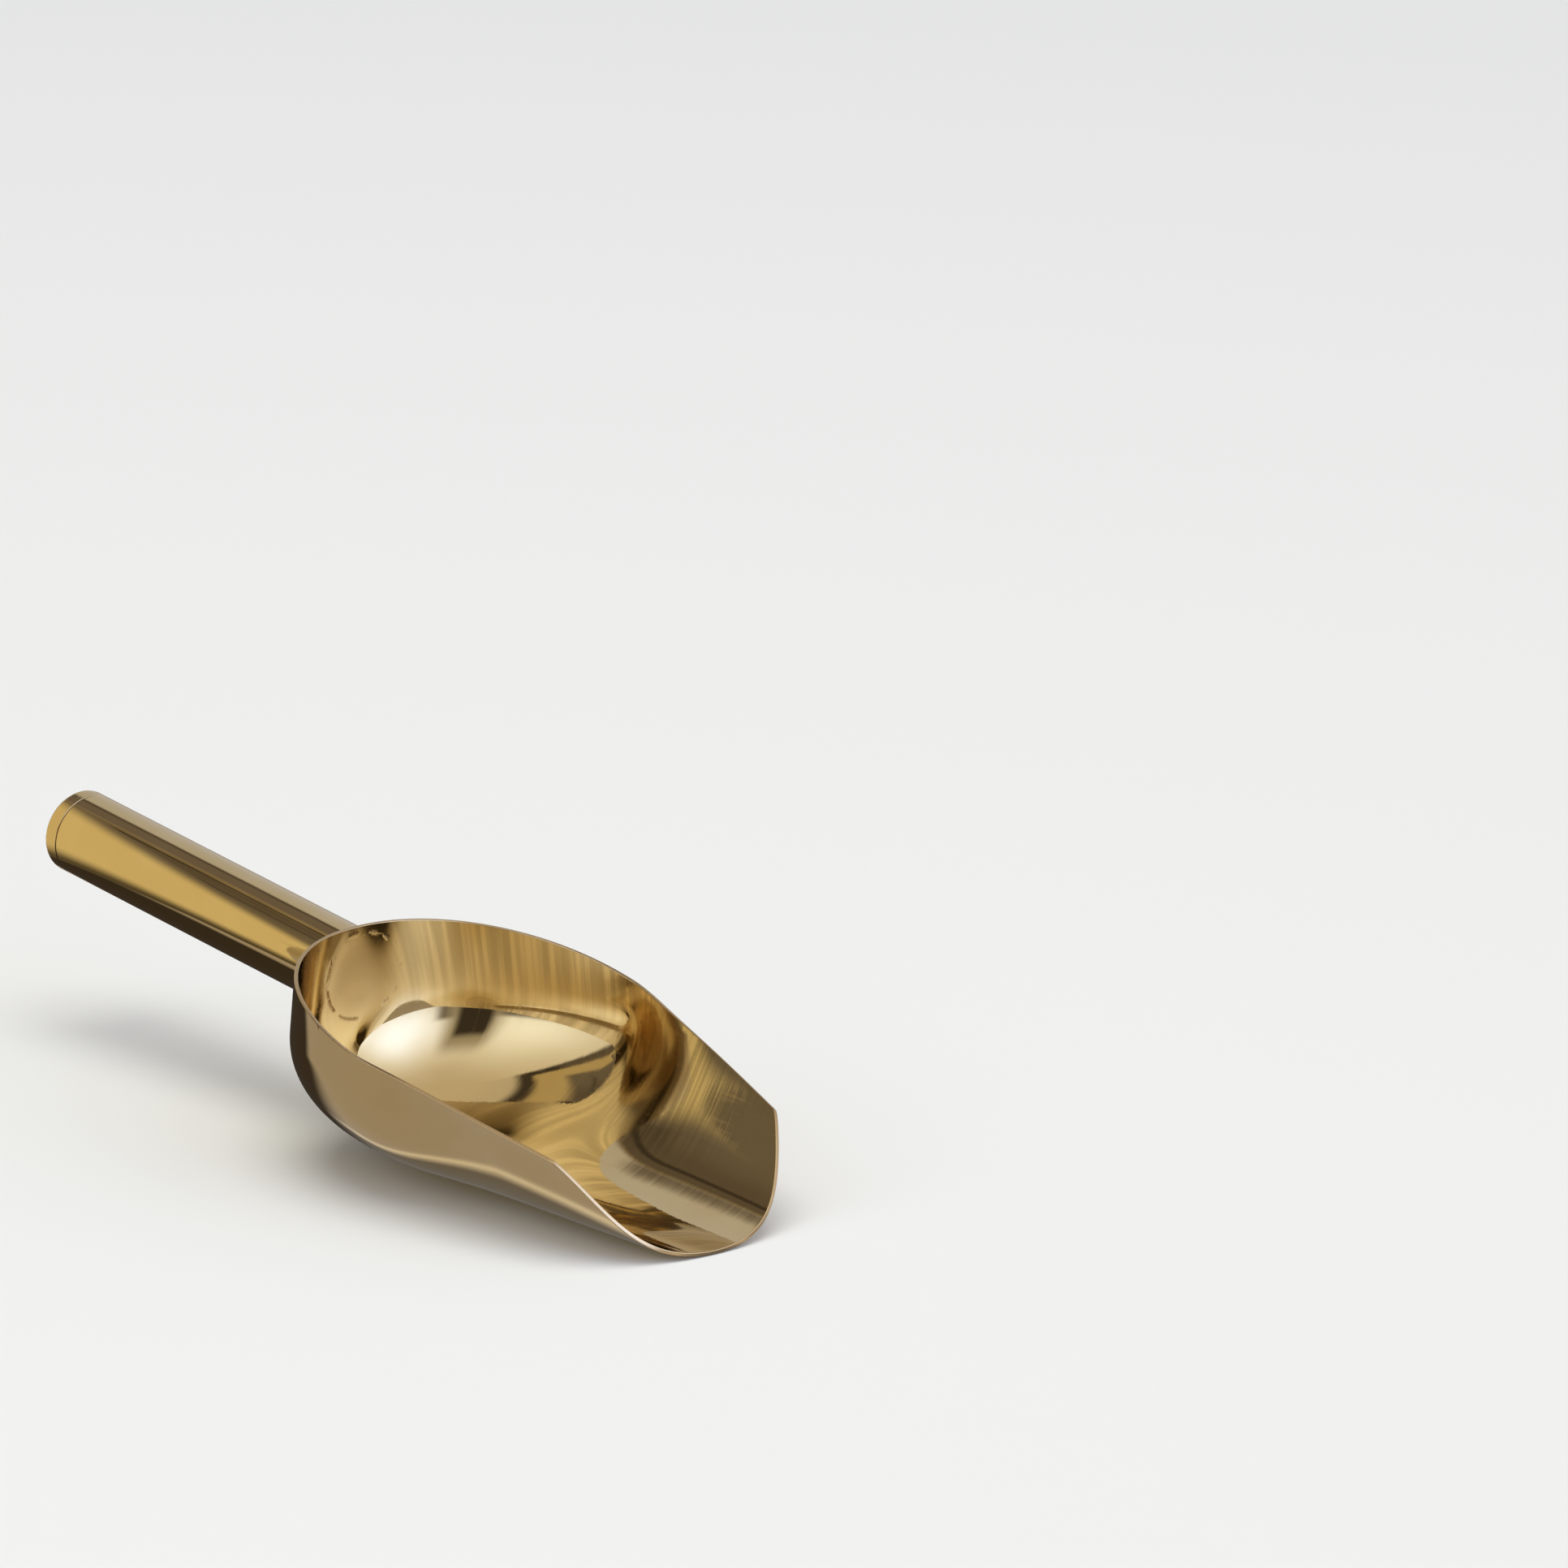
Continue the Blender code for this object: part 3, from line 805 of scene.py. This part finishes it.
def bowl_metal():
    """Mirror polish: fine lines up the walls inside and along the sheet outside, the
    trace of the handle's weld inside the back, and a ground rim."""
    mat, n, bsdf, place = metal("mirror_gold_bowl")
    inner = marked(n, "inner")
    edge = marked(n, "edge")
    specks = pits(n, place, *BOWL_SPECKS)
    upright = noise(n, place, UPRIGHT_LINES, 3.0)
    lengthways = noise(n, place, LENGTHWAYS_LINES, 3.0)
    coarse = noise(n, place, COARSE_LINES, 2.0)
    # The weld's trace is a broken ring inside the back, in a patch tinted by the heat.
    along, _, _, away = handle_places(n, place)
    near_back = n.times(inner, n.range(along, *TRACE_DEPTH))
    weld = n.times(near_back, n.bell(away, *WELD_RING))
    weld = n.times(weld, n.range(noise(n, place, WELD_BREAKS, 3.0), *WELD_BROKEN))
    beads = n.times(weld, noise(n, place, WELD_BEADS, 3.0))
    patch = n.math("ADD", away, n.times(coarse, HEAT_SHIFT))
    heat = n.times(near_back, n.range(patch, *HEAT_FADE))
    # Inside, the upper walls and a patch on the far shoulder are a darker gold and rougher, in
    # patches broken up by noise.
    x, y, z = n.split(place)
    upper = n.range(n.math("ADD", z, n.times(coarse, DARKER_WALL_SHIFT)), *DARKER_WALL_HEIGHT)
    shoulder = n.times(n.range(y, *SHOULDER_ACROSS), n.range(z, *SHOULDER_HEIGHT))
    shoulder = n.times(n.bell(x, *SHOULDER_ALONG), shoulder)
    darker_walls = n.times(n.math("MAXIMUM", upper, shoulder), inner)
    gaps = n.range(noise(n, place, DARKER_WALL_GAPS, 3.0), *DARKER_WALL_BROKEN)
    darker_walls = n.times(darker_walls, gaps)

    outside = n.math("SUBTRACT", 1.0, inner)
    normal = bump(n, noise(n, place, BOWL_WAVES, 1.0), WAVE_HEIGHT)
    normal = bump(n, n.times(lengthways, outside), LENGTHWAYS_HEIGHT, normal)
    normal = bump(n, n.times(upright, inner), UPRIGHT_HEIGHT, normal)
    normal = bump(n, n.times(coarse, inner), COARSE_HEIGHT, normal)
    normal = bump(n, beads, WELD_TRACE_HEIGHT, normal)
    normal = bump(n, n.times(edge, noise(n, place, RIM_GRAIN)), RIM_HEIGHT, normal)

    colour = polished_colour(n, place, GOLD, specks)
    colour = n.mix(darker_walls, colour, DARKER_WALL_GOLD)
    colour = n.mix(n.times(heat, HEAT_STRENGTH), colour, HEAT_TINT)
    colour = n.mix(n.times(weld, TRACE_STRENGTH), colour, WELD_TRACE)
    colour = n.mix(edge, colour, GROUND_RIM)

    rough = n.math("ADD", n.range(lengthways, *BOWL_ROUGH),
                   n.times(n.range(upright, *UPRIGHT_ROUGH), inner))
    for what, added in ((specks, SPECK_ROUGH), (darker_walls, DARKER_WALL_ROUGH),
                        (weld, TRACE_ROUGH), (edge, RIM_ROUGH)):
        rough = n.math("ADD", rough, n.times(what, added))
    return finished(mat, n, bsdf, colour, rough, normal)


def tube_metal():
    """Mirror polish with long fine lines and a slight waviness along the tube."""
    mat, n, bsdf, place = metal("mirror_gold_tube")
    along, high, side, _ = handle_places(n, place)
    fine = noise(n, joined(n, along, high, side), TUBE_LINES, 3.0)
    broad = noise(n, joined(n, along, high, side), TUBE_BROAD, 2.0)
    specks = pits(n, place, *HANDLE_SPECKS)
    normal = bump(n, noise(n, place, TUBE_WAVES, 1.0), WAVE_HEIGHT)
    normal = bump(n, broad, TUBE_BROAD_HEIGHT, normal)
    normal = bump(n, fine, TUBE_LINE_HEIGHT, normal)
    colour = polished_colour(n, place, GOLD, specks)
    rough = n.math("ADD", n.range(fine, *TUBE_ROUGH), n.times(specks, SPECK_ROUGH))
    return finished(mat, n, bsdf, colour, rough, normal)


def cap_metal():
    """A turned cap, with the fine rings of its turning and a slightly softer shine."""
    mat, n, bsdf, place = metal("turned_gold_cap")
    along, _, _, away = handle_places(n, place)
    rings = noise(n, joined(n, away, along, 0.0), CAP_RINGS, 3.0)
    colour = polished_colour(n, place, CAP_GOLD, pits(n, place, *HANDLE_SPECKS))
    rough = n.range(rings, *CAP_ROUGH)
    return finished(mat, n, bsdf, colour, rough, bump(n, rings, CAP_RING_HEIGHT))


def weld_metal():
    """The fillet's ripples, polished over, a little darker from the heat."""
    mat, n, bsdf, place = metal("satin_gold_weld")
    _, high, side, _ = handle_places(n, place)
    ripple = n.math("SINE", n.times(n.math("ARCTAN2", side, high), WELD_RIPPLES))
    grain = noise(n, place, WELD_GRAIN, 4.0)
    normal = bump(n, ripple, RIPPLE_HEIGHT)
    normal = bump(n, grain, GRAIN_HEIGHT, normal)
    colour = n.mix(n.range(grain, *DEEP_WELD), *WELD_GOLD)
    rough = n.range(grain, *WELD_ROUGH)
    return finished(mat, n, bsdf, colour, rough, normal)


# ---------------------------------------------------------------- studio
# What stands round the scoop, by direction from it: soft boxes, flags and a backdrop.
# Azimuth 0 is straight out of its right side (-Y) and 90 beyond its lip (+X), in degrees.
# A band is (azimuth, half width, softness, top elevation, softness, colour) and reaches
# down to the floor, a cap is (lower elevation, softness, colour), a glow is (azimuth,
# spread, elevation, spread, colour) and a ring is (azimuth, half width, softness,
# elevation, spread, colour). Each lies over the ones before it.
CEILING = (0.58, 0.535, 0.47)
SURROUNDINGS = [
    ("band", 55, 97, 6, 95, 5, (0.74, 0.70, 0.62)),          # white studio, front and right
    ("cap", 66, 24, (0.66, 0.61, 0.53)),                     # overhead diffuser
    ("glow", 90, 40, 24, 26, (1.18, 1.34, 1.80)),            # soft box beyond the lip
    ("glow", 90, 17, 19, 18, (1.45, 1.80, 3.00)),            # and its lamp
    ("glow", 2, 24, 28, 20, (1.22, 1.37, 1.68)),             # soft box on the right
    ("band", 6, 56, 10, 16, 7, (0.17, 0.165, 0.18)),         # the dark table below it
    ("glow", 126, 13, 2, 9, (1.45, 1.75, 2.80)),             # low reflector on the left
    ("band", 38, 17, 16, 52, 20, (0.42, 0.40, 0.37)),        # the shade above the gap
    ("band", 37, 11, 6, 38, 10, (0.050, 0.042, 0.036)),      # the gap between the boxes
    ("band", -66, 25, 4, 62, 4, (0.060, 0.050, 0.040)),      # black flag behind the handle
    ("band", -69, 21, 3, 57, 3, (0.52, 0.42, 0.24)),         # gold cloth hung inside it
    ("band", -66, 24, 4, 48, 4, (0.125, 0.105, 0.086)),      # its dark lower half
    ("band", -58, 10, 14, 48, 4, (0.17, 0.148, 0.125)),      # a fold that catches light
    ("band", -82, 1.6, 2, 50, 3, (0.055, 0.045, 0.036)),     # and a seam
    ("band", -51, 4, 3, 57, 3, (0.52, 0.42, 0.24)),          # the cloth's hanging end
    ("band", -136, 45, 4, 60, 6, (0.18, 0.155, 0.145)),      # shade above the backdrop
    ("band", -136, 45, 4, 39, 3, (0.55, 0.55, 0.57)),        # white backdrop
    ("ring", -100, 40, 8, 41.5, 0.8, (0.10, 0.085, 0.072)),  # its top bar
]
FLOOR_SEEN = (0.80, 0.79, 0.715)
FLOOR_MIRRORED = (0.41, 0.375, 0.344)
FLOOR_UNDER_BOWL = (0.165, 0.155, 0.145)
FLOOR_EDGE = (0.80, 0.76, 0.68)
FLOOR_UNDER_HANDLE = (0.045, 0.036, 0.028)
CARD = (0.78, 0.674, 0.40)
CARD_SHADE = (0.19, 0.165, 0.140)
CARD_FOOT = (0.11, 0.092, 0.060)
SURROUND = (0.90, 0.90, 0.905)

# Places and sizes in metres. The two shades on the floor are ellipses, (centre, half size).
FLOOR_HALF = 30.0
UNDER_HANDLE = ((-0.085, 0.002), (0.100, 0.060))
UNDER_BOWL = ((0.035, 0.0), (0.085, 0.0255))
# Where a shade fades in, and where the light line round it lies: 1 is on the ellipse.
UNDER_HANDLE_FADE = (1.12, 0.86)
UNDER_BOWL_FADE = (1.05, 0.95)
EDGE_LINE = (1.10, 0.035)         # middle and spread
EDGE_STRENGTH = 0.8
FLOOR_DROP = 0.0002               # the floor lies this much under the scoop
MIRRORED_DROP = 0.0001
CARD_FACES = (-0.060, 0.0, 0.0)   # the place under the handle that the card stands beside
CARD_WAY = (-0.743, -0.669)       # the direction from there to the card
CARD_AWAY = 0.080
CARD_ENDS = (-0.060, 0.031)       # its two ends across that direction
CARD_HEIGHTS = (0.008, 0.115)
FOOT_FADE = (0.012, 0.032)
TOP_FADE = (0.080, 0.112)
SURROUND_RADIUS = 28.0
SURROUND_HEIGHTS = (-1.0, 40.0)
SURROUND_SIDES = 64
LAMP_SIZE = 2.4
LAMP_POWER = 36.0
LAMP_PLACE = (0.2, -0.3, 2.6)
LAMP_TURN = (-6.0, 4.0, 0.0)      # degrees
CAMERA_PLACE = (3.43849, -2.58437, 1.30000)
CAMERA_RIGHT = (0.618115, 0.786067, -0.005696)
CAMERA_UP = (-0.211246, 0.173081, 0.961987)
CAMERA_BACK = (0.757172, -0.593415, 0.273037)
LENS = 468.576                    # millimetres, on a sensor 36 mm wide


def falling(n, value, end, soft):
    """1 below the end and 0 above it, over a soft step."""
    return n.range(value, end + 0.5 * soft, end - 0.5 * soft)


def sky_share(n, kind, values, azimuth, elevation):
    """How much of the sky one of the SURROUNDINGS covers, by direction."""
    if kind == "cap":
        low, soft = values
        return n.range(elevation, low - 0.5 * soft, low + 0.5 * soft)
    off = n.math("WRAP", n.math("SUBTRACT", azimuth, values[0]), 180.0, -180.0)
    off = n.math("ABSOLUTE", off)
    if kind == "glow":
        _, spread, height, spread_up = values
        return n.times(n.bell(off, 0.0, spread), n.bell(elevation, height, spread_up))
    _, half, soft, height, height_soft = values
    across = falling(n, off, half, soft)
    if kind == "ring":
        return n.times(across, n.bell(elevation, height, height_soft))
    return n.times(across, falling(n, elevation, height, height_soft))


def build_world():
    world = bpy.data.worlds.new("studio")
    bpy.context.scene.world = world
    world.use_nodes = True
    n = Nodes(world.node_tree)
    x, y, z = n.split(n.add("ShaderNodeTexCoord").outputs["Generated"])
    degrees = 180.0 / math.pi
    azimuth = n.times(n.math("ARCTAN2", x, n.times(y, -1.0)), degrees)
    elevation = n.times(n.math("ARCSINE", z), degrees)
    colour = CEILING
    for kind, *values, tint in SURROUNDINGS:
        colour = n.mix(sky_share(n, kind, values, azimuth, elevation), colour, tint)
    background = world.node_tree.nodes["Background"]
    n.put(background.inputs["Color"], colour)
    n.put(background.inputs["Strength"], 1.0)


def stage_mesh(name, points, faces, material, camera, glossy, diffuse):
    """An object of the studio, and which rays see it. None of them casts a shadow."""
    mesh = bpy.data.meshes.new(name)
    mesh.from_pydata(points, [], faces)
    mesh.materials.append(material)
    obj = bpy.data.objects.new(name, mesh)
    bpy.context.scene.collection.objects.link(obj)
    obj.visible_camera = camera
    obj.visible_glossy = glossy
    obj.visible_diffuse = diffuse
    obj.visible_transmission = False
    obj.visible_volume_scatter = False
    obj.visible_shadow = False
    return obj


def glow_material(name, colour):
    """A material that shines by itself, with its colour's input for finer shades."""
    mat = bpy.data.materials.new(name)
    mat.use_nodes = True
    tree = mat.node_tree
    tree.nodes.remove(tree.nodes["Principled BSDF"])
    n = Nodes(tree)
    shine = n.add("ShaderNodeEmission")
    n.put(shine.inputs["Color"], (*colour, 1.0))
    n.put(shine.inputs["Strength"], 1.0)
    n.put(tree.nodes["Material Output"].inputs["Surface"], shine.outputs[0])
    return mat, n, shine.inputs["Color"]


def ellipse(n, x, y, centre, half):
    """1 on an ellipse about the centre, less inside it and more outside."""
    u = n.math("DIVIDE", n.math("SUBTRACT", x, centre[0]), half[0])
    v = n.math("DIVIDE", n.math("SUBTRACT", y, centre[1]), half[1])
    return n.math("SQRT", n.math("ADD", n.times(u, u), n.times(v, v)))


def build_floor():
    """A pale floor for the camera, and the floor that the polished metal mirrors: greyer,
    dark under the handle and under the bowl, with a light line round the bowl's shade."""
    square = [(x * FLOOR_HALF, y * FLOOR_HALF, 0.0) for x, y in
              ((-1, -1), (1, -1), (1, 1), (-1, 1))]
    mat = bpy.data.materials.new("pale_floor")
    mat.use_nodes = True
    bsdf = mat.node_tree.nodes["Principled BSDF"]
    bsdf.inputs["Base Color"].default_value = (*FLOOR_SEEN, 1.0)
    bsdf.inputs["Roughness"].default_value = 0.9
    bsdf.inputs["Specular IOR Level"].default_value = 0.0
    floor = stage_mesh("floor", square, [(0, 1, 2, 3)], mat, True, False, True)
    floor.location.z = -FLOOR_DROP

    mat, n, colour_input = glow_material("mirrored_floor", FLOOR_MIRRORED)
    x, y, _ = n.split(n.add("ShaderNodeTexCoord").outputs["Object"])
    under_handle = n.range(ellipse(n, x, y, *UNDER_HANDLE), *UNDER_HANDLE_FADE)
    ring = ellipse(n, x, y, *UNDER_BOWL)
    under_bowl = n.range(ring, *UNDER_BOWL_FADE)
    edge = n.times(n.bell(ring, *EDGE_LINE), EDGE_STRENGTH)
    colour = n.mix(edge, FLOOR_MIRRORED, FLOOR_EDGE)
    colour = n.mix(under_bowl, colour, FLOOR_UNDER_BOWL)
    n.put(colour_input, n.mix(under_handle, colour, FLOOR_UNDER_HANDLE))
    mirrored_floor = stage_mesh("floor_mirrored", square, [(0, 1, 2, 3)], mat,
                                False, True, False)
    mirrored_floor.location.z = -MIRRORED_DROP


def build_cards():
    """A card beside the handle that only mirrors see, dark at its foot and shaded at its
    top, and an even surround that only the camera sees."""
    mat, n, colour_input = glow_material("white_card", CARD)
    _, _, z = n.split(n.add("ShaderNodeTexCoord").outputs["Object"])
    colour = n.mix(n.range(z, *FOOT_FADE), CARD_FOOT, CARD)
    n.put(colour_input, n.mix(n.range(z, *TOP_FADE), colour, CARD_SHADE))
    way = Vector((*CARD_WAY, 0.0))
    across = Vector((-way.y, way.x, 0.0))
    centre = Vector(CARD_FACES) + way * CARD_AWAY
    left, right = (centre + across * end for end in CARD_ENDS)
    low, high = (Vector((0.0, 0.0, h)) for h in CARD_HEIGHTS)
    corners = [left + low, right + low, right + high, left + high]
    stage_mesh("white_card", corners, [(0, 1, 2, 3)], mat, False, True, False)

    mat, _, _ = glow_material("surround", SURROUND)
    sides = SURROUND_SIDES
    turns = [2.0 * math.pi * i / sides for i in range(sides)]
    points = [(SURROUND_RADIUS * math.cos(a), SURROUND_RADIUS * math.sin(a), z)
              for z in SURROUND_HEIGHTS for a in turns]
    faces = [(i, (i + 1) % sides, sides + (i + 1) % sides, sides + i) for i in range(sides)]
    stage_mesh("surround", points, faces, mat, True, False, False)


def build_lamp():
    lamp = bpy.data.lights.new("overhead", "AREA")
    lamp.shape = "DISK"
    lamp.size = LAMP_SIZE
    lamp.energy = LAMP_POWER
    obj = bpy.data.objects.new("overhead", lamp)
    bpy.context.scene.collection.objects.link(obj)
    obj.location = LAMP_PLACE
    obj.rotation_euler = [math.radians(a) for a in LAMP_TURN]
    obj.visible_glossy = False
    obj.visible_camera = False


def build_camera():
    """The photograph's viewing angle: from the front right of the scoop, 16 degrees up."""
    cam = bpy.data.cameras.new("camera")
    obj = bpy.data.objects.new("camera", cam)
    bpy.context.scene.collection.objects.link(obj)
    turn = Matrix((CAMERA_RIGHT, CAMERA_UP, CAMERA_BACK)).transposed().to_4x4()
    turn.translation = Vector(CAMERA_PLACE)
    obj.matrix_world = turn
    cam.sensor_width = 36.0
    cam.lens = LENS
    cam.clip_start = 0.5
    cam.clip_end = 100.0
    bpy.context.scene.camera = obj


def main():
    bowl = build_bowl(bowl_metal())
    tube = build_tube(tube_metal())
    cap = build_cap(cap_metal())
    weld = build_weld(weld_metal())
    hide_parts("scoop_bowl")
    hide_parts("handle_tube")
    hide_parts("handle_end_cap")
    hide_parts("weld_fillet")
    build_world()
    build_floor()
    build_cards()
    build_lamp()
    build_camera()
    bpy.context.scene.view_settings.view_transform = "Standard"


main()
